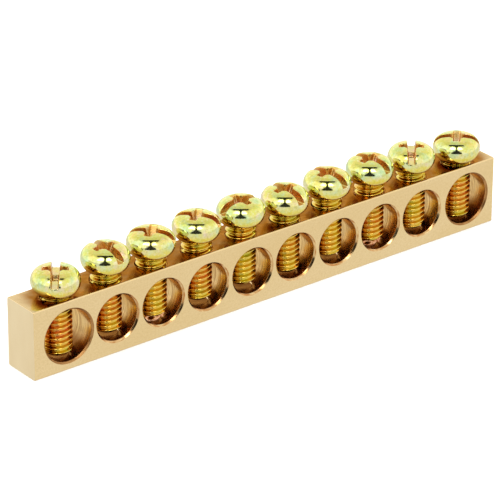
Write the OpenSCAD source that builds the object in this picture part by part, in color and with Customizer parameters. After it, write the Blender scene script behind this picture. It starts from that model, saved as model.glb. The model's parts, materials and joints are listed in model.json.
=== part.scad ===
// Ten-way earth terminal bar: a drilled and tapped brass bar with ten
// combination-drive clamp screws. Millimetres, +Z up. The origin is the
// centre of the bar's underside; X runs along the bar and the wire holes
// run through it along Y.

/* [Bar] */
// Length of the bar
bar_l = 75.6; // [75:0.1:90]
// Depth of the bar, front face to back face
bar_d = 5.7; // [5.2:0.1:7]
// Height of the bar
bar_h = 9.5; // [9.3:0.1:11]
// Radius of the four long rolled edges
bar_edge_r = 0.2; // [0.1:0.05:0.4]

/* [Wire holes] */
// Distance from the left end to the first hole
first_hole = 5.33; // [5:0.01:6]
// Spacing between the large left hole and its neighbour
end_pitch_left = 7.5; // [7.3:0.01:8]
// Spacing of the eight middle holes
pitch = 7.16; // [7:0.01:7.3]
// Spacing between the large right hole and its neighbour
end_pitch_right = 7.9; // [7.3:0.01:8]
// Height of the middle holes' axes above the underside
mid_hole_z = 4.8; // [4.7:0.05:4.85]
// Height of the end holes' axes above the underside
end_hole_z = 4.65; // [4.6:0.05:4.75]
// Radius of the eight middle holes
mid_hole_r = 3.12; // [3.1:0.01:3.2]
// Radius of the two large end holes
end_hole_r = 3.55; // [3.53:0.01:3.6]
// Width of the chamfer at both mouths of each hole
hole_chamfer = 0.25; // [0.1:0.05:0.3]

/* [Clamp screws] */
// Position of the screw row in front of the bar's centre plane
screw_row_y = 0.3; // [0:0.05:0.35]
// Thread major radius
thread_r = 2; // [1.9:0.05:2]
// Radial running clearance between the screws and their tapped bores
thread_gap = 0.05; // [0.02:0.01:0.1]
// Length of the shank below the head
shank_l = 8.05; // [7.8:0.05:8.3]
// Radius of the shank's flat end
tip_r = 1.45; // [1.3:0.05:1.5]
// Height of the chamfer at the shank's end
tip_chamfer = 0.45; // [0.4:0.05:0.6]
// Radius of the head
head_r = 3.2; // [3.1:0.05:3.25]
// Height of the head at its centre
head_h = 3.55; // [3.5:0.05:3.65]
// Height of the widest part of the head, and radius of its rounded lower half
head_side = 1.8; // [1.7:0.05:1.85]
// Radius of the rounded shoulder of the head
shoulder_r = 1.6; // [1.45:0.05:1.6]
// Width of the screwdriver slot
slot_w = 1.1; // [0.9:0.05:1.3]
// Height of the slot's floor above the underside of the head
slot_floor = 2.05; // [1.95:0.05:2.25]
// Half the length of the cross recess at the top
cross_l = 1.8; // [1.6:0.05:2]
// Width of the arms of the cross recess
cross_w = 1.0; // [0.7:0.05:1.1]
// Height of the bottom of the cross recess above the underside of the head
cross_floor = 1.45; // [1.3:0.05:1.7]

/* [Screw heights] */
// Gap from the bar to the head of screw 1
lift_1 = 0.18; // [0.15:0.01:6]
// Gap from the bar to the head of screw 2
lift_2 = 1.02; // [0.75:0.01:7]
// Gap from the bar to the head of screw 3
lift_3 = 1.07; // [0.75:0.01:7]
// Gap from the bar to the head of screw 4
lift_4 = 1.2; // [0.75:0.01:7]
// Gap from the bar to the head of screw 5
lift_5 = 1.25; // [0.75:0.01:7]
// Gap from the bar to the head of screw 6
lift_6 = 0.8; // [0.75:0.01:7]
// Gap from the bar to the head of screw 7
lift_7 = 1.11; // [0.75:0.01:7]
// Gap from the bar to the head of screw 8
lift_8 = 1.12; // [0.75:0.01:7]
// Gap from the bar to the head of screw 9
lift_9 = 0.85; // [0.75:0.01:7]
// Gap from the bar to the head of screw 10
lift_10 = 0.1; // [0.1:0.01:6]

/* [Screw turns] */
// Direction of the slot of screw 1, degrees from +X
turn_1 = 52.8; // [0:0.1:180]
// Direction of the slot of screw 2, degrees from +X
turn_2 = 93; // [0:0.1:180]
// Direction of the slot of screw 3, degrees from +X
turn_3 = 128; // [0:0.1:180]
// Direction of the slot of screw 4, degrees from +X
turn_4 = 127; // [0:0.1:180]
// Direction of the slot of screw 5, degrees from +X
turn_5 = 3; // [0:0.1:180]
// Direction of the slot of screw 6, degrees from +X
turn_6 = 95; // [0:0.1:180]
// Direction of the slot of screw 7, degrees from +X
turn_7 = 100; // [0:0.1:180]
// Direction of the slot of screw 8, degrees from +X
turn_8 = 102; // [0:0.1:180]
// Direction of the slot of screw 9, degrees from +X
turn_9 = 50.4; // [0:0.1:180]
// Direction of the slot of screw 10, degrees from +X
turn_10 = 138; // [0:0.1:180]

/* [Hidden] */
$fn = 96;
e = 0.01;

brass = [0.84, 0.74, 0.52];
zinc = [0.80, 0.80, 0.50];

// hole axes along the bar, left to right
x_first = first_hole - bar_l / 2;
x_mid = x_first + end_pitch_left;
hole_x = concat([x_first], [for (i = [0:7]) x_mid + i * pitch],
                [x_mid + 7 * pitch + end_pitch_right]);
hole_r = concat([end_hole_r], [for (i = [0:7]) mid_hole_r], [end_hole_r]);
hole_z = concat([end_hole_z], [for (i = [0:7]) mid_hole_z], [end_hole_z]);
// as-drilled offset of each tapped bore from its wire hole
runout = [-0.12, 0, -0.08, -0.03, -0.03, 0.05, -0.03, 0.01, 0.05, 0.15];
// depth of the mark the tapping drill leaves in each hole's floor
spot = [0.15, 0.2, 0.4, 0.2, 0.2, 0.2, 0.2, 0.4, 0.2, 0.15];
lift = [lift_1, lift_2, lift_3, lift_4, lift_5, lift_6, lift_7, lift_8, lift_9, lift_10];
turn = [turn_1, turn_2, turn_3, turn_4, turn_5, turn_6, turn_7, turn_8, turn_9, turn_10];

bore_r = thread_r + thread_gap;
spot_r = 1.65;

// head crown: one arc that meets the shoulder arc without a step
crown_a = head_r - shoulder_r;
crown_q = head_side - head_h;
crown_r = (shoulder_r * shoulder_r - crown_a * crown_a - crown_q * crown_q)
          / (2 * crown_q + 2 * shoulder_r);
crown_t = atan2(crown_a, head_side - head_h + crown_r);
meet_x = crown_a + shoulder_r * sin(crown_t);

// one wire hole with a chamfer at each mouth, along Y
module wire_hole(x, z, r) {
    translate([x, 0, z]) rotate([90, 0, 0]) {
        cylinder(h = bar_d + 2, r = r, center = true);
        for (m = [0, 1]) mirror([0, 0, m])
            translate([0, 0, bar_d / 2 - hole_chamfer])
                cylinder(h = hole_chamfer + 0.1, r1 = r, r2 = r + hole_chamfer + 0.1);
    }
}

// one tapped bore through the top wall, and the drill's mark in the floor below
module screw_bore(x, z, r, depth) {
    translate([x, -screw_row_y, z]) cylinder(h = bar_h, r = bore_r);
    translate([x, -screw_row_y, bar_h - 0.15]) cylinder(h = 0.25, r1 = bore_r, r2 = bore_r + 0.25);
    translate([x, -screw_row_y, z - r - depth])
        cylinder(h = depth + 0.3, r1 = max(0.05, spot_r - (depth + 0.3) * 2.2), r2 = spot_r);
}

// rolled section of the bar, in the Y-Z plane
module bar_section() {
    translate([-bar_d / 2 + bar_edge_r, 0]) square([bar_d - 2 * bar_edge_r, bar_h]);
    translate([-bar_d / 2, bar_edge_r]) square([bar_d, bar_h - 2 * bar_edge_r]);
    for (y = [-1, 1], z = [bar_edge_r, bar_h - bar_edge_r])
        translate([y * (bar_d / 2 - bar_edge_r), z]) circle(r = bar_edge_r);
}

module bar() {
    color(brass) difference() {
        translate([-bar_l / 2, 0, 0]) rotate([90, 0, 90])
            linear_extrude(height = bar_l) bar_section();
        for (i = [0:9]) {
            wire_hole(hole_x[i], hole_z[i], hole_r[i]);
            screw_bore(hole_x[i] + runout[i], hole_z[i], hole_r[i], spot[i]);
        }
    }
}

// half section of the head: rounded lower half, rounded shoulder, shallow crown
module head_section() {
    square([head_r - head_side, head_side]);
    intersection() {
        translate([head_r - head_side, head_side]) circle(r = head_side);
        square([head_r + 1, head_side]);
    }
    intersection() {
        translate([crown_a, head_side]) circle(r = shoulder_r);
        translate([0, head_side - e]) square([head_r + 1, head_h]);
    }
    intersection() {
        translate([0, head_h - crown_r]) circle(r = crown_r);
        translate([0, head_side - e]) square([meet_x, head_h]);
    }
}

// one arm pair of the cross recess, tapered towards the bottom
module cross_arm() {
    rotate([90, 0, 0]) linear_extrude(height = cross_w, center = true)
        polygon([[-0.55, cross_floor], [0.55, cross_floor],
                 [cross_l, head_h], [cross_l, head_h + 1],
                 [-cross_l, head_h + 1], [-cross_l, head_h]]);
}

// clamp screw with the lowest point of its head at z = 0
module clamp_screw() {
    difference() {
        rotate_extrude() head_section();
        translate([-head_r - 1, -slot_w / 2, slot_floor])
            cube([2 * head_r + 2, slot_w, head_h]);
        cross_arm();
        rotate([0, 0, 90]) cross_arm();
    }
    translate([0, 0, tip_chamfer - shank_l])
        cylinder(h = shank_l - tip_chamfer + 0.5, r = thread_r);
    translate([0, 0, -shank_l])
        cylinder(h = tip_chamfer, r1 = tip_r, r2 = thread_r);
}

// clamp screw n of the row, at its own height and turn
module placed_screw(n) {
    color(zinc)
        translate([hole_x[n - 1] + runout[n - 1], -screw_row_y, bar_h + lift[n - 1]])
            rotate([0, 0, turn[n - 1]]) clamp_screw();
}

module screw_1() { placed_screw(1); }
module screw_2() { placed_screw(2); }
module screw_3() { placed_screw(3); }
module screw_4() { placed_screw(4); }
module screw_5() { placed_screw(5); }
module screw_6() { placed_screw(6); }
module screw_7() { placed_screw(7); }
module screw_8() { placed_screw(8); }
module screw_9() { placed_screw(9); }
module screw_10() { placed_screw(10); }

bar();
screw_1();
screw_2();
screw_3();
screw_4();
screw_5();
screw_6();
screw_7();
screw_8();
screw_9();
screw_10();
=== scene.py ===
import json
import math

import bmesh
import bpy
import numpy as np
from mathutils import Matrix, Vector


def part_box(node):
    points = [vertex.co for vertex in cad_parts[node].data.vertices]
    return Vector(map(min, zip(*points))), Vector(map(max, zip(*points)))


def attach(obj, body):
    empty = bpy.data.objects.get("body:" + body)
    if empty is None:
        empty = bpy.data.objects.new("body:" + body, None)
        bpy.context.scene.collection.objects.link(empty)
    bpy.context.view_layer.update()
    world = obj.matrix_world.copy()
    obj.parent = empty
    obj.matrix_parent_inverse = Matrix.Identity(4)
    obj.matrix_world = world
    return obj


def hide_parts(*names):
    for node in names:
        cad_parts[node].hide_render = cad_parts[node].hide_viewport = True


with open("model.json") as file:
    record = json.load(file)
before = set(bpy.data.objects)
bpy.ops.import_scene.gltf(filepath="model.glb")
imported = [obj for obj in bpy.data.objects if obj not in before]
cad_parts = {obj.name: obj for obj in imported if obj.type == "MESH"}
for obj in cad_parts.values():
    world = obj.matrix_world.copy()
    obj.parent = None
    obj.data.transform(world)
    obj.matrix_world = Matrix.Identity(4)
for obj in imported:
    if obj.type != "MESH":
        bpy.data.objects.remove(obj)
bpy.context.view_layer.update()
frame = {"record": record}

MM = 0.001
record = frame["record"]
mounts = {m["name"]: m for m in record["mounts"]}

# ---------------------------------------------------------------- sizes, mm
bar_lo, bar_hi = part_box("bar")
L, D, H = [(bar_hi[k] - bar_lo[k]) / MM for k in range(3)]
HOLES = []                                  # (x, z, radius) of each wire hole
for i in range(1, 11):
    m = mounts["wire_hole_%d" % i]
    HOLES.append((m["pos_m"][0] / MM, m["pos_m"][2] / MM, m["dims"]["r_mm"]))
CHAMFER = 0.25
SHANK, HEAD_H, HEAD_R, HEAD_SIDE, SHOULDER = 8.05, 3.55, 3.198, 1.8, 1.6
SLOT_Z, CROSS_Z = 2.05, 1.45                # floors of the slot and of the cross recess
TURN = [52.8, 93, 128, 127, 3, 95, 100, 102, 50.4, 138]
PITCH, R_MAJOR, R_MINOR = 0.7, 2.0, 1.57
# strength of each screw's painted reflection of the brass hole on its thread
PAINTED_REFLECTION = [1.0, 0.8, 0.30, 1.0, 0.1, 0.5, 0.1, 0.9, 0.15, 0.8]
PHASE = [0.99, 0.89, 0.57, 0.79, 0.01, 0.83, 0.51, 0.11, 0.53, 0.03]                           # angle of each thread's start, turns
SCREWS = []                                 # (axis x, axis y, underside of head z)
for i in range(1, 11):
    lo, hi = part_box("screw_%d" % i)
    SCREWS.append(((lo[0] + hi[0]) / 2 / MM, (lo[1] + hi[1]) / 2 / MM, lo[2] / MM + SHANK))


# ---------------------------------------------------------------- mesh tools
def to_object(name, verts, faces, normals=None, smooth=True):
    """A mesh object from millimetre coordinates."""
    me = bpy.data.meshes.new(name)
    v = np.asarray(verts, np.float64) * MM
    me.from_pydata(v.tolist(), [], [list(map(int, f)) for f in faces])
    me.update()
    if smooth:
        me.polygons.foreach_set("use_smooth", [True] * len(me.polygons))
    if normals is not None:
        me.normals_split_custom_set_from_vertices(np.asarray(normals, float).tolist())
    o = bpy.data.objects.new(name, me)
    bpy.context.scene.collection.objects.link(o)
    return o


def surface_nets(f, lo, hi, h):
    """Quads on the zero level of f, which is negative inside, moved onto the level exactly."""
    n = [int(math.ceil((hi[k] - lo[k]) / h)) + 1 for k in range(3)]
    ax = [lo[k] + h * np.arange(n[k]) for k in range(3)]
    G = np.stack(np.meshgrid(*ax, indexing="ij"), -1)
    V = f(G)
    shape = tuple(s - 1 for s in n)
    acc = np.zeros(shape + (3,))
    cnt = np.zeros(shape)
    corners = [(a, b, c) for a in (0, 1) for b in (0, 1) for c in (0, 1)]

    def part(a, c):
        return a[c[0]:c[0] + shape[0], c[1]:c[1] + shape[1], c[2]:c[2] + shape[2]]

    for p in corners:
        for k in range(3):
            if p[k]:
                continue
            q = tuple(1 if j == k else p[j] for j in range(3))
            va, vb = part(V, p), part(V, q)
            cross = (va < 0) != (vb < 0)
            t = np.where(cross, va / np.where(cross, va - vb, 1), 0)
            pa, pb = part(G, p), part(G, q)
            acc += np.where(cross[..., None], pa + (pb - pa) * t[..., None], 0)
            cnt += cross
    used = cnt > 0
    index = -np.ones(shape, int)
    index[used] = np.arange(used.sum())
    P = acc[used] / cnt[used][:, None]
    inside = V < 0
    faces = []
    for k in range(3):
        a, b = (k + 1) % 3, (k + 2) % 3
        sl0 = [slice(1, -1)] * 3
        sl0[k] = slice(0, n[k] - 1)
        sl1 = list(sl0)
        sl1[k] = slice(1, n[k])
        i0, i1 = inside[tuple(sl0)], inside[tuple(sl1)]
        where = np.argwhere(i0 != i1)
        if not len(where):
            continue
        flip = i0[tuple(where.T)]
        base = where.copy()
        base[:, a] += 1
        base[:, b] += 1
        ids = []
        for da, db in ((-1, -1), (0, -1), (0, 0), (-1, 0)):
            c = base.copy()
            c[:, a] += da
            c[:, b] += db
            ids.append(index[tuple(c.T)])
        q = np.stack(ids, 1)
        q[~flip] = q[~flip][:, ::-1]
        faces.append(q)
    faces = np.concatenate(faces)

    def grad(P):
        e = 1e-4
        g = np.zeros_like(P)
        for k in range(3):
            d = np.zeros(3)
            d[k] = e
            g[:, k] = (f(P + d) - f(P - d)) / (2 * e)
        return g

    for _ in range(4):
        g = grad(P)
        P = P - (f(P) / np.maximum((g * g).sum(1), 1e-6))[:, None] * g
    g = grad(P)
    return P, faces, g / np.linalg.norm(g, axis=1)[:, None]


def smax(a, b, k):
    h = np.maximum(k - np.abs(a - b), 0) / k
    return np.maximum(a, b) + h * h * k / 4


def smin(a, b, k):
    return -smax(-a, -b, k)


def both(a, b, r):
    """Intersection of two half spaces with an outside corner of radius r."""
    qa, qb = a + r, b + r
    return np.minimum(np.maximum(qa, qb), 0) + np.hypot(np.maximum(qa, 0), np.maximum(qb, 0)) - r


# ---------------------------------------------------------------- screws
crown_a = HEAD_R - SHOULDER
crown_q = HEAD_SIDE - HEAD_H
CROWN_R = (SHOULDER ** 2 - crown_a ** 2 - crown_q ** 2) / (2 * crown_q + 2 * SHOULDER)
CROWN_T = math.atan2(crown_a, HEAD_SIDE - HEAD_H + CROWN_R)


def recess(P):
    """The slot and the cross recess, negative inside."""
    x, y, z = P[..., 0], P[..., 1], P[..., 2]
    slot = both(np.abs(y) - 0.44 - 0.09 * (z - SLOT_Z), SLOT_Z - z, 0.14)

    def arm(s, t):
        zz = (z - CROSS_Z) / (HEAD_H - CROSS_Z)
        end = (np.abs(s) - 0.55 - 1.25 * zz) * 0.836
        wide = (np.abs(t) - 0.33 - 0.17 * np.clip(zz, -0.3, 1.3)) * 0.995
        return smax(both(end, wide, 0.12), CROSS_Z - z, 0.15)

    cross = np.minimum(arm(x, y), arm(y, x))
    r = np.hypot(x, y)
    cone = smax((r - 0.42 - 0.28 * (z - CROSS_Z + 0.15)) * 0.96, CROSS_Z - 0.13 - z, 0.2)
    return np.minimum(slot, smin(cross, cone, 0.06))


def head_field(P):
    x, y, z = P[..., 0], P[..., 1], P[..., 2]
    r = np.hypot(x, y)
    ang = np.arctan2(r, z - (HEAD_H - CROWN_R))
    crown = np.hypot(r, z - (HEAD_H - CROWN_R)) - CROWN_R
    shoulder = np.hypot(r - crown_a, z - HEAD_SIDE) - SHOULDER
    under = np.hypot(np.maximum(r - (HEAD_R - HEAD_SIDE), 0), z - HEAD_SIDE) - HEAD_SIDE
    body = np.where(z < HEAD_SIDE, under, np.where(ang < CROWN_T, crown, shoulder))
    neck = np.maximum(both(r - 1.78, -z - 0.12, 0.03), z - 0.6)
    solid = smin(body, neck, 0.2)
    return smax(solid, -recess(P), 0.13)


def head_mesh():
    h = 0.08
    P, F, N = surface_nets(head_field, (-3.32, -3.32, -0.20), (3.32, 3.32, 3.69), h)
    return P, F, N


def thread_mesh(phase):
    """The threaded shank, from its chamfered flat end up into the neck, with the head's underside at z = 0."""
    n = 72
    prof = [(0.0, 0.0), (0.035, 0.0), (0.075, 0.035), (0.11, 0.115), (0.20, 0.44), (0.29, 0.78), (0.335, 0.91),
            (0.39, 0.98), (0.45, 1.0), (0.55, 1.0), (0.61, 0.98), (0.665, 0.91), (0.71, 0.78), (0.80, 0.44),
            (0.89, 0.115), (0.925, 0.035), (0.965, 0.0)]
    depth = R_MAJOR - R_MINOR
    z_lo, z_hi = -SHANK, 0.05
    turns = range(-1, int((z_hi - z_lo) / PITCH) + 3)
    vs = [(k + v, d) for k in turns for v, d in prof]
    V = np.array([v for v, _ in vs])
    Dp = np.array([d for _, d in vs])
    th = np.arange(n) / n
    Z = z_lo + PITCH * (V[:, None] + ((th + phase) % 1.0)[None, :] - 0.0)
    # keep columns in order: the seam is where (th + phase) wraps by one turn
    wrap = np.floor(th + phase).astype(int)
    T = np.broadcast_to(2 * math.pi * th, Z.shape)
    zc = np.clip(Z, z_lo, z_hi)
    R = R_MAJOR - depth * Dp[:, None] * np.ones_like(Z)
    fade = np.clip((zc - (z_hi - 0.3)) / 0.3, 0, 1)          # run-out under the head
    R = R * (1 - fade) + (R_MINOR + 0.18) * fade
    start = R_MINOR - 0.12 + (zc - z_lo) * 0.98               # 45 degree point
    start = np.where(zc - z_lo < 0.02, R_MINOR - 0.16, start)
    R = np.minimum(R, start)
    pts = np.stack([R * np.cos(T), R * np.sin(T), zc], -1)
    rows = len(V)
    ids = np.arange(rows * n).reshape(rows, n)
    faces = []
    np_prof = len(prof)
    for j in range(n):
        k = (j + 1) % n
        z0 = (th[j] + phase) % 1.0
        z1 = (th[k] + phase) % 1.0
        shift = np_prof if z1 < z0 - 1e-9 else 0
        for i in range(rows - 1):
            a, b = i, i + 1
            c, d = i + shift, i + 1 + shift
            if d >= rows:
                continue
            faces.append((ids[a, j], ids[c, k], ids[d, k], ids[b, j]))
    return pts.reshape(-1, 3), faces, ids


def screw_object(i, head):
    P, F, N = head
    turn = math.radians(TURN[i])
    c, s = math.cos(turn), math.sin(turn)
    Rz = np.array([[c, -s, 0], [s, c, 0], [0, 0, 1.0]])
    x, y, z = SCREWS[i]
    bm = bmesh.new()
    tp, tf, ids = thread_mesh(PHASE[i])
    me = bpy.data.meshes.new("t")
    me.from_pydata(tp.tolist(), [], [list(map(int, f)) for f in tf])
    bm.from_mesh(me)
    bpy.data.meshes.remove(me)
    bmesh.ops.remove_doubles(bm, verts=bm.verts, dist=0.002)
    bmesh.ops.dissolve_degenerate(bm, edges=bm.edges, dist=0.0015)
    # flat end
    loop = [e for e in bm.edges if e.is_boundary and max(v.co.z for v in e.verts) < -SHANK + 0.01]
    if loop:
        bmesh.ops.holes_fill(bm, edges=loop, sides=0)
    bmesh.ops.recalc_face_normals(bm, faces=bm.faces)
    me = bpy.data.meshes.new("t")
    bm.to_mesh(me)
    bm.free()
    me.update()
    nt = len(me.vertices)
    tv = np.zeros(nt * 3)
    me.vertices.foreach_get("co", tv)
    tv = tv.reshape(-1, 3)
    tn = np.zeros(nt * 3)
    me.vertices.foreach_get("normal", tn)
    tn = tn.reshape(-1, 3)
    tfaces = [tuple(p.vertices) for p in me.polygons]
    bpy.data.meshes.remove(me)
    hv = P @ Rz.T
    hn = N @ Rz.T
    verts = np.concatenate([tv, hv]) + np.array([x, y, z])
    faces = tfaces + [tuple(int(a) + nt for a in f) for f in F]
    # threads: crisp enough from their own facets, so their normals are recomputed
    o = to_object("screw_%d_detail" % (i + 1), verts, faces, np.concatenate([tn, hn]))
    me = o.data
    zone = me.attributes.new("recess", "FLOAT", "POINT")
    rec = np.concatenate([np.full(nt, 0.0), np.clip(0.5 - recess(P) / 0.10, 0, 1)])
    zone.data.foreach_set("value", rec.astype(np.float32))
    zone = me.attributes.new("thread", "FLOAT", "POINT")
    zone.data.foreach_set("value", np.concatenate([np.ones(nt), np.clip(-P[:, 2] / 0.05, 0, 1)]).astype(np.float32))
    # plating colour with painted light: an orange painted reflection of the brass hole all the way round the middle of
    # the shank, and paler crests as painted highlight
    zt = tv[:, 2] + SHANK
    painted_reflection = np.clip((zt - 1.0) / 1.2, 0, 1) * np.clip((6.4 - zt) / 1.5, 0, 1) * PAINTED_REFLECTION[i]
    radial = np.hypot(tv[:, 0], tv[:, 1])
    crest = np.clip((radial - (R_MAJOR - 0.09)) / 0.07, 0, 1)
    level = me.attributes.new("level", "FLOAT", "POINT")
    level.data.foreach_set("value", np.concatenate([np.zeros(nt), np.clip(P[:, 2] / HEAD_H, 0, 1)]).astype(np.float32))
    for name, v in (("painted_reflection", painted_reflection), ("crest", crest)):
        layer = me.attributes.new(name, "FLOAT", "POINT")
        layer.data.foreach_set("value", np.concatenate([v, np.zeros(len(P))]).astype(np.float32))
    return o


# ---------------------------------------------------------------- bar
def revolve(profile, n, axis, name):
    """A closed solid of revolution from (radius, height) points, about Y or Z."""
    verts, faces = [], []
    for r, h in profile:
        for k in range(n):
            a = 2 * math.pi * k / n
            if axis == "Y":
                verts.append((r * math.cos(a), h, r * math.sin(a)))
            else:
                verts.append((r * math.cos(a), r * math.sin(a), h))
    m = len(profile)
    for j in range(m - 1):
        for k in range(n):
            q = (k + 1) % n
            faces.append((j * n + k, j * n + q, (j + 1) * n + q, (j + 1) * n + k))
    faces.append(tuple(range(n))[::-1])
    faces.append(tuple((m - 1) * n + k for k in range(n)))
    me = bpy.data.meshes.new(name)
    me.from_pydata(verts, [], faces)
    bm = bmesh.new()
    bm.from_mesh(me)
    bmesh.ops.recalc_face_normals(bm, faces=bm.faces)
    bm.to_mesh(me)
    bm.free()
    o = bpy.data.objects.new(name, me)
    bpy.context.scene.collection.objects.link(o)
    return o


def arc(cx, cy, r, a0, a1, n):
    return [(cx + r * math.cos(math.radians(a0 + (a1 - a0) * t / n)),
             cy + r * math.sin(math.radians(a0 + (a1 - a0) * t / n))) for t in range(n + 1)]


def hole_profile(R):
    """Half of a wire hole's section, mouth at y = -D/2: rounded face edge, chamfer, rounded inner edge, wall."""
    c, r1, r2 = CHAMFER, 0.06, 0.07
    y0 = -D / 2
    t = math.tan(math.radians(22.5))
    # face edge: the face (normal -Y) turns into the chamfer (normal towards the axis and -Y)
    out = []
    ex, ey = R + c, y0                      # sharp edge between face and chamfer
    cx, cy = ex + r1 * t, ey + r1
    for a in (-97, -112, -124, -135):
        out.append((cx + r1 * math.cos(math.radians(a)) , cy + r1 * math.sin(math.radians(a))))
    ex, ey = R, y0 + c                      # sharp edge between chamfer and wall
    cx, cy = ex + r2, ey + r2 * t
    for a in (-135, -150, -165, -180):
        out.append((cx + r2 * math.cos(math.radians(a)), cy + r2 * math.sin(math.radians(a))))
    first = (out[0][0] + 0.5, out[0][1] - 0.5 * math.tan(math.radians(7)))
    return [first] + out


def bar_object():
    hx, hy, r = L / 2, D / 2, 0.2
    # section ring in Y-Z with rounded corners, end edges eased by 0.08
    ring = []
    for cy, cz, a0 in ((hy - r, r, -90), (hy - r, H - r, 0), (-hy + r, H - r, 90), (-hy + r, r, 180)):
        ring += [(y, z) for y, z in arc(cy, cz, r, a0, a0 + 90, 6)]
    n = len(ring)
    e = 0.09
    stations = []
    for s in (-1, 1):
        steps = [(e, 0.0)] + [(e * (1 - math.sin(math.radians(a))), e * (1 - math.cos(math.radians(a)))) for a in (0, 22.5, 45, 67.5, 90)][1:]
        st = []
        for inset, dx in steps:
            st.append((s * (hx - dx), inset))
        stations.append(st)
    xs = stations[0] + stations[1][::-1]
    verts, faces = [], []
    cyc, czc = 0.0, H / 2
    for x, inset in xs:
        for y, z in ring:
            ky = (abs(y - cyc) - inset) / abs(y - cyc) if abs(y - cyc) > 1e-9 else 1
            kz = (abs(z - czc) - inset) / abs(z - czc) if abs(z - czc) > 1e-9 else 1
            verts.append((x, cyc + (y - cyc) * ky, czc + (z - czc) * kz))
    for j in range(len(xs) - 1):
        for k in range(n):
            q = (k + 1) % n
            faces.append((j * n + k, j * n + q, (j + 1) * n + q, (j + 1) * n + k))
    faces.append(tuple(range(n))[::-1])
    faces.append(tuple((len(xs) - 1) * n + k for k in range(n)))
    me = bpy.data.meshes.new("bar_detail")
    me.from_pydata(verts, [], faces)
    bm = bmesh.new()
    bm.from_mesh(me)
    bmesh.ops.recalc_face_normals(bm, faces=bm.faces)
    bm.to_mesh(me)
    bm.free()
    o = bpy.data.objects.new("bar_detail", me)
    bpy.context.scene.collection.objects.link(o)
    cutters = []
    for i, (x, z, R) in enumerate(HOLES):
        half = hole_profile(R)
        prof = half + [(p[0], -p[1]) for p in half[::-1]]
        c = revolve(prof, 112, "Y", "cut")
        c.data.transform(Matrix.Translation((x, 0, z)))
        cutters.append(c)
        sx, sy, _ = SCREWS[i]
        b = revolve([(2.03, H / 2 + 2.0), (2.03, H - 0.2), (2.08, H - 0.14), (2.27, H + 0.03), (2.27, H + 1)], 64, "Z", "cut")
        b.data.transform(Matrix.Translation((sx, sy, 0)))
        cutters.append(b)
        # mark of the tapping drill in the floor
        f = z - R
        if i not in (2, 7):
            sp = revolve([(0.02, f - 0.10), (1.2, f - 0.02), (1.5, f + 0.12), (1.5, f + 0.9)], 48, "Z", "cut")
            sp.data.transform(Matrix.Translation((sx, sy, 0)))
            cutters.append(sp)
            continue
        deep = 0.4
        sp = revolve([(0.02, f - deep), (0.35, f - deep + 0.06), (0.52, f - deep + 0.26), (0.62, f - deep + 0.24),
                      (0.92, f - deep + 0.30), (1.10, f - deep + 0.50), (1.25, f - deep + 0.47), (1.50, f + 0.14),
                      (1.72, f + 0.40), (1.72, f + 0.9)], 56, "Z", "cut")
        sp.data.transform(Matrix.Translation((sx, sy, 0)))
        cutters.append(sp)
    col = bpy.data.collections.new("cutters")
    bpy.context.scene.collection.children.link(col)
    for c in cutters:
        bpy.context.scene.collection.objects.unlink(c)
        col.objects.link(c)
    mod = o.modifiers.new("holes", "BOOLEAN")
    mod.operation = "DIFFERENCE"
    mod.operand_type = "COLLECTION"
    mod.collection = col
    mod.solver = "EXACT"
    bpy.context.view_layer.update()
    dg = bpy.context.evaluated_depsgraph_get()
    new = bpy.data.meshes.new_from_object(o.evaluated_get(dg))
    o.modifiers.clear()
    o.data = new
    for c in cutters:
        me = c.data
        bpy.data.objects.remove(c)
        bpy.data.meshes.remove(me)
    bpy.data.collections.remove(col)
    new.transform(Matrix.Scale(MM, 4))
    new.polygons.foreach_set("use_smooth", [True] * len(new.polygons))
    return o


def zone_bar(o, mats):
    """Front, back, top and underside; hole walls; chamfers; ends: each its own material slot."""
    me = o.data
    me.materials.clear()
    for m in mats:
        me.materials.append(m)
    for p in me.polygons:
        c = p.center / MM
        n = p.normal
        kind = 0
        if n.z > 0.93 and c.z > H - 0.1:
            kind = 6
        elif abs(n.x) > 0.75 and abs(abs(c.x) - L / 2) < 0.08:
            kind = 2
        elif abs(n.y) < 0.9 or abs(abs(c.y) - D / 2) > 0.02:
            for x, z, R in HOLES:
                d = math.hypot(c.x - x, c.z - z)
                if abs(d - R) < 0.06 and abs(c.y) < D / 2 - CHAMFER + 0.09:
                    kind = 1
                elif R - 0.05 < d < R + CHAMFER + 0.05 and abs(c.y) > D / 2 - CHAMFER - 0.05:
                    kind = 5 if R > 3.3 and d > R + 0.045 else 3
                elif d < R + 0.7 and 0.05 < abs(n.z) and c.z < z - R + 0.4:
                    kind = 4 if HOLES.index((x, z, R)) in (2, 7) else 1
        if c.z > H - 0.3 and n.z > 0.15 and kind in (0, 1, 3) and min(math.hypot(c.x - x, c.y - y) for x, y, _ in SCREWS) < 2.45:
            kind = 6
        p.material_index = kind
    return o


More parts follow.
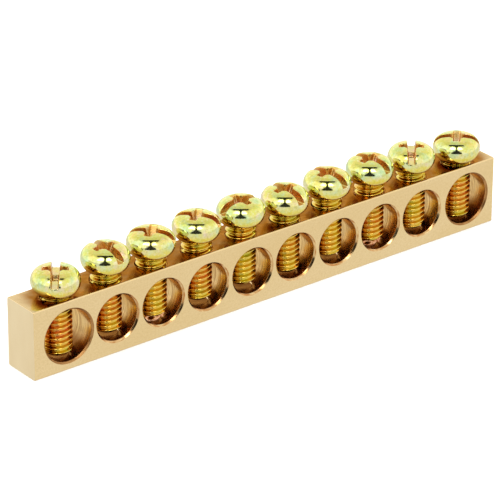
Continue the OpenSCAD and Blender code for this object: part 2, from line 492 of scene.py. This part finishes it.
def grid_top(o):
    """Cut the upper face into strips so that the painted shade can vary over it."""
    bm = bmesh.new()
    bm.from_mesh(o.data)
    for axis, lo_, hi_, step in (((1, 0, 0), -L / 2, L / 2, 1.1), ((0, 1, 0), -D / 2, D / 2, 0.95)):
        v = lo_ + step
        while v < hi_ - 0.3:
            geom = [f for f in bm.faces if f.normal.z > 0.9 and f.calc_center_median().z > (H - 0.05) * MM]
            es = {e for f in geom for e in f.edges}
            vs = {w for f in geom for w in f.verts}
            bmesh.ops.bisect_plane(bm, geom=list(vs) + list(es) + geom, plane_co=Vector(axis) * v * MM, plane_no=Vector(axis), dist=1e-7)
            v += step
    bm.to_mesh(o.data)
    bm.free()
    co = np.zeros(len(o.data.vertices) * 3)
    o.data.vertices.foreach_get("co", co)
    co = co.reshape(-1, 3) / MM
    # painted shade and painted reflection on the top: browner nearer each screw, where the heads shade the face and are
    # mirrored in it
    d = np.min([np.hypot(co[:, 0] - x, 1.15 * (co[:, 1] - y)) for x, y, _ in SCREWS], axis=0)
    v = np.clip((5.0 - d) / 1.7, 0, 1)
    v = v * v * (3 - 2 * v)
    # painted shade in the holes: darker towards the bottom of each hole
    inside = co[:, 2] < H - 0.5
    low = np.clip((4.4 - co[:, 2]) / 2.4, 0, 1)
    v[inside] = (low * low * (3 - 2 * low))[inside]
    layer = o.data.attributes.new("painted_shade", "FLOAT", "POINT")
    layer.data.foreach_set("value", v.astype(np.float32))


# ---------------------------------------------------------------- materials
class Nodes:
    def __init__(self, name):
        self.mat = bpy.data.materials.new(name)
        self.mat.use_nodes = True
        self.t = self.mat.node_tree
        self.t.nodes.clear()
        self.out = self.t.nodes.new("ShaderNodeOutputMaterial")
        self.bsdf = self.t.nodes.new("ShaderNodeBsdfPrincipled")
        self.t.links.new(self.bsdf.outputs[0], self.out.inputs[0])
        self.obj = self.t.nodes.new("ShaderNodeTexCoord").outputs["Object"]

    def new(self, kind, **props):
        n = self.t.nodes.new(kind)
        for k, v in props.items():
            setattr(n, k, v)
        return n

    def link(self, a, b):
        self.t.links.new(a, b)

    def mapping(self, scale, loc=(0, 0, 0), rot=(0, 0, 0), src=None):
        n = self.new("ShaderNodeMapping")
        n.inputs["Scale"].default_value = scale
        n.inputs["Location"].default_value = loc
        n.inputs["Rotation"].default_value = rot
        self.link(src or self.obj, n.inputs["Vector"])
        return n.outputs[0]

    def noise(self, vec, scale=1.0, detail=3.0, rough=0.5, dist=0.0):
        n = self.new("ShaderNodeTexNoise")
        n.inputs["Scale"].default_value = scale
        n.inputs["Detail"].default_value = detail
        n.inputs["Roughness"].default_value = rough
        n.inputs["Distortion"].default_value = dist
        self.link(vec, n.inputs["Vector"])
        return n.outputs["Fac"]

    def ramp(self, fac, stops, interp="LINEAR"):
        n = self.new("ShaderNodeValToRGB")
        n.color_ramp.interpolation = interp
        el = n.color_ramp.elements
        while len(el) > 1:
            el.remove(el[-1])
        el[0].position = stops[0][0]
        el[0].color = (*stops[0][1], 1)
        for pos, col in stops[1:]:
            e = el.new(pos)
            e.color = (*col, 1)
        self.link(fac, n.inputs[0])
        return n.outputs[0]

    def range(self, fac, a, b, c, d, clamp=True):
        n = self.new("ShaderNodeMapRange")
        n.clamp = clamp
        for k, v in zip(("From Min", "From Max", "To Min", "To Max"), (a, b, c, d)):
            n.inputs[k].default_value = v
        self.link(fac, n.inputs["Value"])
        return n.outputs[0]

    def mix(self, fac, a, b, blend="MIX"):
        n = self.new("ShaderNodeMix", data_type="RGBA", blend_type=blend)
        for sock, v in ((n.inputs[0], fac), (n.inputs[6], a), (n.inputs[7], b)):
            if hasattr(v, "is_output"):
                self.link(v, sock)
            elif isinstance(v, (int, float)):
                sock.default_value = v
            else:
                sock.default_value = (*v, 1)
        return n.outputs[2]

    def math(self, op, a, b=None, c=None):
        n = self.new("ShaderNodeMath", operation=op)
        for k, v in enumerate((a, b, c)):
            if v is None:
                continue
            if hasattr(v, "is_output"):
                self.link(v, n.inputs[k])
            else:
                n.inputs[k].default_value = v
        return n.outputs[0]

    def bump(self, height, strength, distance, normal=None):
        n = self.new("ShaderNodeBump")
        n.inputs["Strength"].default_value = strength
        n.inputs["Distance"].default_value = distance
        self.link(height, n.inputs["Height"])
        if normal is not None:
            self.link(normal, n.inputs["Normal"])
        return n.outputs[0]

    def attribute(self, name):
        n = self.new("ShaderNodeAttribute", attribute_name=name)
        return n.outputs["Fac"]

    def set(self, color=None, rough=None, metal=None, normal=None):
        b = self.bsdf
        for name, v in (("Base Color", color), ("Roughness", rough), ("Metallic", metal), ("Normal", normal)):
            if v is None:
                continue
            if hasattr(v, "is_output"):
                self.link(v, b.inputs[name])
            elif isinstance(v, (int, float)):
                b.inputs[name].default_value = v
            else:
                b.inputs[name].default_value = (*v, 1)
        return self.mat


def lin(r, g, b):
    def f(c):
        c /= 255.0
        return c / 12.92 if c <= 0.04045 else ((c + 0.055) / 1.055) ** 2.4
    return (f(r), f(g), f(b))


def brass_face():
    k = Nodes("brass_drawn")
    soft = k.noise(k.mapping((60, 180, 180)), 1.0, 3, 0.5)
    grain = k.noise(k.mapping((500, 2600, 2600)), 1.0, 3, 0.6)
    speck = k.noise(k.mapping((3200, 3200, 3200)), 1.0, 2, 0.5)
    col = k.ramp(soft, [(0.3, lin(236, 207, 150)), (0.7, lin(241, 214, 161))])
    col = k.mix(k.range(speck, 0.35, 0.65, 0, 0.30), col, lin(222, 190, 132))
    rough = k.range(grain, 0.25, 0.75, 0.13, 0.22)
    n = k.bump(grain, 0.10, 0.00001)
    n = k.bump(speck, 0.12, 0.000008, n)
    return k.set(col, rough, 1.0, n)


def brass_top():
    """The upper face: painted shade and painted reflection in brown round the screws, plain brass at the ends."""
    k = Nodes("brass_top")
    grain = k.noise(k.mapping((300, 2200, 2600)), 1.0, 3, 0.6)
    cloud = k.noise(k.mapping((420, 420, 420)), 1.0, 3, 0.6)
    speck = k.noise(k.mapping((3200, 3200, 3200)), 1.0, 2, 0.5)
    unshaded = k.ramp(cloud, [(0.3, lin(214, 190, 144)), (0.7, lin(221, 200, 157))])
    dark = k.ramp(cloud, [(0.3, lin(132, 82, 30)), (0.5, lin(152, 97, 38)), (0.7, lin(178, 122, 58))])
    # painted shade and painted reflection: brown mixed in round the screws
    t = k.math("ADD", k.attribute("painted_shade"), k.range(cloud, 0.3, 0.7, -0.15, 0.15))
    col = k.mix(k.range(t, 0.0, 1.0, 0.0, 1.0), unshaded, dark)
    rough = k.range(grain, 0.25, 0.75, 0.12, 0.22)
    n = k.bump(grain, 0.15, 0.00001)
    n = k.bump(speck, 0.12, 0.000008, n)
    mat = k.set(col, rough, 1.0, n)
    k.bsdf.inputs["Specular Tint"].default_value = (0.95, 0.74, 0.50, 1)
    return mat


def brass_wall():
    k = Nodes("brass_bored")
    rings = k.noise(k.mapping((220, 7000, 220)), 1.0, 3, 0.65)
    broad = k.noise(k.mapping((160, 1900, 160)), 1.0, 2, 0.5)
    soft = k.noise(k.mapping((350, 350, 350)), 1.0, 3, 0.5)
    col = k.ramp(soft, [(0.3, lin(234, 194, 124)), (0.7, lin(246, 214, 154))])
    # painted shade: darker low in the holes
    low = k.ramp(soft, [(0.3, lin(104, 64, 28)), (0.7, lin(146, 96, 48))])
    col = k.mix(k.attribute("painted_shade"), col, low)
    col = k.mix(k.range(rings, 0.40, 0.64, 0, 0.65), col, lin(132, 84, 38))
    rough = k.range(rings, 0.3, 0.7, 0.16, 0.28)
    n = k.bump(broad, 0.6, 0.00003)
    n = k.bump(rings, 0.5, 0.00001, n)
    mat = k.set(col, rough, 1.0, n)
    k.bsdf.inputs["Specular Tint"].default_value = (0.95, 0.76, 0.54, 1)
    return mat


def brass_end():
    k = Nodes("brass_sawn")
    grain = k.noise(k.mapping((400, 5200, 260)), 1.0, 3, 0.6)
    soft = k.noise(k.mapping((200, 300, 120)), 1.0, 2, 0.5)
    col = k.ramp(soft, [(0.3, lin(235, 212, 166)), (0.7, lin(241, 220, 176))])
    rough = k.range(grain, 0.3, 0.7, 0.28, 0.4)
    n = k.bump(grain, 0.2, 0.00001)
    return k.set(col, rough, 1.0, n)


def brass_edge():
    k = Nodes("brass_chamfer")
    rings = k.noise(k.mapping((900, 6000, 900)), 1.0, 2, 0.5)
    patch_ = k.noise(k.mapping((700, 700, 700)), 1.0, 2, 0.6)
    col = k.ramp(rings, [(0.35, lin(186, 128, 70)), (0.65, lin(238, 208, 150))])
    col = k.mix(k.range(patch_, 0.45, 0.65, 0, 0.6), col, lin(176, 116, 60))
    rough = k.range(rings, 0.3, 0.7, 0.14, 0.22)
    n = k.bump(rings, 0.3, 0.00001)
    return k.set(col, rough, 1.0, n)


def brass_edge_dull():
    k = Nodes("brass_chamfer_dull")
    rings = k.noise(k.mapping((900, 6000, 900)), 1.0, 2, 0.5)
    col = k.ramp(rings, [(0.35, lin(150, 104, 58)), (0.65, lin(196, 148, 92))])
    rough = k.range(rings, 0.3, 0.7, 0.35, 0.5)
    n = k.bump(rings, 0.5, 0.00002)
    return k.set(col, rough, 1.0, n)


def brass_mark():
    k = Nodes("brass_drill_mark")
    spots = k.noise(k.mapping((900, 900, 900)), 1.0, 3, 0.5)
    col = k.ramp(spots, [(0.3, lin(176, 104, 60)), (0.7, lin(232, 178, 128))])
    rough = k.range(spots, 0.3, 0.7, 0.10, 0.22)
    n = k.bump(spots, 0.3, 0.00003)
    return k.set(col, rough, 1.0, n)


def zinc(i):
    k = Nodes("yellow_zinc_%d" % (i + 1))
    seed = 3.7 * i
    big = k.noise(k.mapping((430, 430, 430), loc=(seed, seed * 1.3, 0)), 1.0, 3, 0.55)
    mott = k.noise(k.mapping((1100, 1100, 1100), loc=(seed, 2.0, seed)), 1.0, 4, 0.65)
    fine = k.noise(k.mapping((3000, 3000, 3000), loc=(seed, 0, seed)), 1.0, 3, 0.65)
    # yellow plating tint by height on the head, with painted reflection in it: orange low down, then yellow, pale, and
    # greener on the crown
    base = k.ramp(k.attribute("level"), [(0.08, lin(206, 164, 56)), (0.36, lin(234, 214, 62)), (0.54, lin(232, 222, 106)),
                                         (0.78, lin(220, 220, 84)), (0.95, lin(208, 214, 96))])
    tint = k.ramp(big, [(0.30, lin(160, 206, 140)), (0.42, lin(214, 226, 160)), (0.50, lin(238, 220, 104)), (0.58, lin(240, 206, 112)),
                        (0.68, lin(236, 186, 172))])
    share = k.range(k.attribute("level"), 0.30, 0.60, 0.35, 1.0)
    head = k.mix(k.math("MULTIPLY", share, k.range(mott, 0.35, 0.65, 0.10, 0.80)), base, tint)
    pale = k.ramp(big, [(0.36, lin(196, 226, 184)), (0.50, lin(228, 236, 192)), (0.62, lin(238, 222, 204))])
    # painted sheen: a paler band all the way round the shoulder
    band = k.math("MULTIPLY", k.range(k.attribute("level"), 0.34, 0.50, 0.0, 1.0), k.range(k.attribute("level"), 0.86, 0.68, 0.0, 1.0))
    head = k.mix(k.math("MULTIPLY", band, k.range(mott, 0.35, 0.62, 0.10, 0.66)), head, pale)
    head = k.mix(k.range(fine, 0.55, 0.72, 0.0, 0.55), head, lin(246, 244, 214))
    head = k.mix(k.range(fine, 0.46, 0.30, 0.0, 0.45), head, lin(168, 160, 60))
    # copper colour of the slot and cross recess with painted shade: darkest deep in the cross, lighter towards the rim
    deep = k.ramp(k.attribute("level"), [(0.50, lin(172, 64, 30)), (0.555, lin(204, 104, 46)), (0.575, lin(212, 172, 46)),
                                         (0.60, lin(212, 170, 46)), (0.63, lin(204, 82, 42)), (0.84, lin(220, 108, 58)),
                                         (0.95, lin(236, 152, 96))])
    cut = k.mix(k.range(mott, 0.45, 0.70, 0.0, 0.5), deep, lin(204, 88, 46))
    thr = k.ramp(big, [(0.30, lin(186, 178, 52)), (0.44, lin(216, 192, 60)), (0.55, lin(224, 188, 60)), (0.68, lin(220, 172, 64))])
    # painted reflection: the orange of the brass hole wall on the threads
    thr = k.mix(k.math("MULTIPLY", k.attribute("painted_reflection"), k.range(mott, 0.38, 0.62, 0.15, 0.75)), thr, lin(220, 112, 60))
    # painted highlight: paler crests on the thread
    thr = k.mix(k.range(k.attribute("crest"), 0.0, 1.0, 0.0, 0.5), thr, lin(246, 212, 96))
    col = k.mix(k.attribute("recess"), head, cut)
    col = k.mix(k.attribute("thread"), col, thr)
    rough = k.range(mott, 0.3, 0.7, 0.07, 0.13)
    rough = k.math("ADD", rough, k.range(k.attribute("recess"), 0.0, 1.0, 0.0, 0.34))
    n = k.bump(mott, 0.22, 0.00001)
    n = k.bump(fine, 0.08, 0.000006, n)
    mat = k.set(col, rough, 1.0, n)
    k.bsdf.inputs["Coat Weight"].default_value = 0.3
    k.bsdf.inputs["Coat Roughness"].default_value = 0.06
    k.bsdf.inputs["Coat IOR"].default_value = 1.9
    return mat


# ---------------------------------------------------------------- build
bar = bar_object()
grid_top(bar)
zone_bar(bar, [brass_face(), brass_wall(), brass_end(), brass_edge(), brass_mark(), brass_edge_dull(), brass_top()])
wn = bar.modifiers.new("weighted", "WEIGHTED_NORMAL")
wn.weight = 90
wn.keep_sharp = False
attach(bar, "bar")
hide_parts("bar")

head = head_mesh()
for i in range(10):
    o = screw_object(i, head)
    o.data.materials.append(zinc(i))
    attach(o, "screw_%d" % (i + 1))
    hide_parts("screw_%d" % (i + 1))


# ---------------------------------------------------------------- stage
def plane(name, size, z, mat):
    me = bpy.data.meshes.new(name)
    s = size / 2
    me.from_pydata([(-s, -s, z), (s, -s, z), (s, s, z), (-s, s, z)], [], [(0, 1, 2, 3)])
    o = bpy.data.objects.new(name, me)
    bpy.context.scene.collection.objects.link(o)
    me.materials.append(mat)
    return o


k = Nodes("floor_paper")
paper = k.noise(k.mapping((900, 900, 900)), 1.0, 2, 0.5)
k.set(k.ramp(paper, [(0.3, (0.86, 0.86, 0.86)), (0.7, (0.90, 0.90, 0.90))]), 0.8, 0.0)
floor = plane("floor", 6.0, -0.00001, k.mat)


def patch(name, az0, az1, el0, el1, radius, strength, color=(1, 1, 1)):
    """A piece of the light tent: a spherical patch, azimuth from -Y towards +X."""
    nx, ny = max(12, int(abs(az1 - az0) / 6)), 10
    verts, faces = [], []
    for b in range(ny + 1):
        e = math.radians(el0 + (el1 - el0) * b / ny)
        for a in range(nx + 1):
            z = math.radians(az0 + (az1 - az0) * a / nx)
            verts.append((radius * math.sin(z) * math.cos(e), -radius * math.cos(z) * math.cos(e), radius * math.sin(e)))
    for b in range(ny):
        for a in range(nx):
            q = b * (nx + 1) + a
            faces.append((q, q + 1, q + nx + 2, q + nx + 1))
    me = bpy.data.meshes.new(name)
    me.from_pydata(verts, [], faces)
    o = bpy.data.objects.new(name, me)
    bpy.context.scene.collection.objects.link(o)
    m = bpy.data.materials.new(name)
    m.use_nodes = True
    m.node_tree.nodes.clear()
    em = m.node_tree.nodes.new("ShaderNodeEmission")
    em.inputs[0].default_value = (*color, 1)
    em.inputs[1].default_value = strength
    out = m.node_tree.nodes.new("ShaderNodeOutputMaterial")
    m.node_tree.links.new(em.outputs[0], out.inputs[0])
    me.materials.append(m)
    o.visible_camera = False
    o.visible_diffuse = False
    o.visible_shadow = False
    o.visible_transmission = False
    return o


def opening(name, az, rows, radius, strength):
    """The dark slot the camera looks through; rows of elevation and half width."""
    verts, faces = [], []
    for el, half in rows:
        e = math.radians(el)
        for a in range(9):
            z = math.radians(az + half * (a / 4 - 1))
            verts.append((radius * math.sin(z) * math.cos(e), -radius * math.cos(z) * math.cos(e), radius * math.sin(e)))
    for b in range(len(rows) - 1):
        faces += [(9 * b + a, 9 * b + a + 1, 9 * b + a + 10, 9 * b + a + 9) for a in range(8)]
    me = bpy.data.meshes.new(name)
    me.from_pydata(verts, [], faces)
    return tent_piece(name, me, strength)


def tent_piece(name, me, strength):
    o = bpy.data.objects.new(name, me)
    bpy.context.scene.collection.objects.link(o)
    m = Nodes(name)
    em = m.new("ShaderNodeEmission")
    em.inputs[1].default_value = strength
    m.link(em.outputs[0], m.out.inputs[0])
    me.materials.append(m.mat)
    o.visible_camera = False
    o.visible_diffuse = False
    o.visible_shadow = False
    o.visible_transmission = False
    return o


def sheet(name, az, el, half_w, half_h, radius, strength):
    """A flat card of the light tent that faces the object; half sizes in degrees."""
    w = radius * math.tan(math.radians(half_w))
    h = radius * math.tan(math.radians(half_h))
    me = bpy.data.meshes.new(name)
    me.from_pydata([(-w, -h, 0), (w, -h, 0), (w, h, 0), (-w, h, 0)], [], [(0, 1, 2, 3)])
    o = bpy.data.objects.new(name, me)
    bpy.context.scene.collection.objects.link(o)
    a, e = math.radians(az), math.radians(el)
    p = Vector((math.sin(a) * math.cos(e), -math.cos(a) * math.cos(e), math.sin(e))) * radius
    side = Vector((math.cos(a), math.sin(a), 0))
    rise = p.normalized().cross(side)
    z = p.normalized()
    o.matrix_world = Matrix(((side.x, rise.x, z.x, p.x), (side.y, rise.y, z.y, p.y), (side.z, rise.z, z.z, p.z), (0, 0, 0, 1)))
    m = Nodes(name)
    em = m.new("ShaderNodeEmission")
    em.inputs[1].default_value = strength
    m.link(em.outputs[0], m.out.inputs[0])
    me.materials.append(m.mat)
    o.visible_camera = False
    o.visible_diffuse = False
    o.visible_shadow = False
    o.visible_transmission = False
    return o


# a white tent with a dark gap overhead and the dark slot the camera looks through
sheet("tent_gap", -38, 86, 24, 8, 1.20, 0.03)
for i, (lo_, hi_, glow_) in enumerate([(0, 20, 1.25), (20, 31, 1.17), (31, 41, 1.09), (41, 50, 1.01), (50, 59, 0.94), (59, 89, 0.88)]):
    patch("tent_back_%d" % i, 42, 242, lo_, hi_, 1.45, glow_)
opening("tent_opening", -38.5, [(-4, 25), (8, 25), (15, 23), (22, 17), (29, 11), (38, 7), (52, 7), (62, 9), (70, 15), (78, 34)], 1.23, 0.03)
patch("tent_left", -132, -60, 16, 58, 1.40, 1.3)
patch("tent_left_hot", -82, -46, 42, 66, 1.33, 5.0)
patch("tent_right", -14, 62, -5, 58, 1.40, 1.1)
patch("tent_right_hot", -31, -2, 42, 66, 1.33, 5.0)
card = Nodes("floor_glow")
glow = card.new("ShaderNodeEmission")
glow.inputs[1].default_value = 0.9
card.link(glow.outputs[0], card.out.inputs[0])
floor_card = plane("floor_card", 1.2, -0.000005, card.mat)
floor_card.visible_camera = False
floor_card.visible_diffuse = False
floor_card.visible_shadow = False
floor_card.visible_transmission = False

world = bpy.data.worlds.new("studio")
bpy.context.scene.world = world
world.use_nodes = True
bg = world.node_tree.nodes["Background"]
bg.inputs[0].default_value = (1, 1, 1, 1)
bg.inputs[1].default_value = 0.85


def area(name, az, el, dist, size, power, size_y=None):
    li = bpy.data.lights.new(name, "AREA")
    li.shape = "RECTANGLE"
    li.size = size
    li.size_y = size_y or size
    li.energy = power
    o = bpy.data.objects.new(name, li)
    bpy.context.scene.collection.objects.link(o)
    a, e = math.radians(az), math.radians(el)
    p = Vector((math.sin(a) * math.cos(e), -math.cos(a) * math.cos(e), math.sin(e))) * dist
    o.location = p
    o.rotation_euler = (-p).to_track_quat("-Z", "Y").to_euler()
    return o


key = area("key", -112, 62, 1.0, 0.6, 6)
fill = area("fill", 35, 62, 1.0, 0.6, 6)
for l_ in (key, fill):
    l_.visible_glossy = False

# ---------------------------------------------------------------- camera
az, el, roll = math.radians(-38.19), math.radians(26.11), math.radians(0.29)
back = Vector((math.sin(az) * math.cos(el), -math.cos(az) * math.cos(el), math.sin(el)))
right = Vector((0, 0, 1)).cross(back).normalized()
up = back.cross(right)
r2 = right * math.cos(roll) + up * math.sin(roll)
u2 = -right * math.sin(roll) + up * math.cos(roll)
t = Vector((-2.806, -1.716, -45.395)) * H
pos = -(r2 * t.x + u2 * t.y + back * t.z) + Vector((-L / 2, -D / 2, 0))
cam = bpy.data.cameras.new("camera")
cam.sensor_width = 36
cam.lens = 3480.4 / 500 * 36
cam.clip_start = 0.01
cam.clip_end = 20
co = bpy.data.objects.new("camera", cam)
co.matrix_world = Matrix(((r2.x, u2.x, back.x, pos.x * MM), (r2.y, u2.y, back.y, pos.y * MM),
                          (r2.z, u2.z, back.z, pos.z * MM), (0, 0, 0, 1)))
bpy.context.scene.collection.objects.link(co)
bpy.context.scene.camera = co
bpy.context.scene.view_settings.view_transform = "Standard"
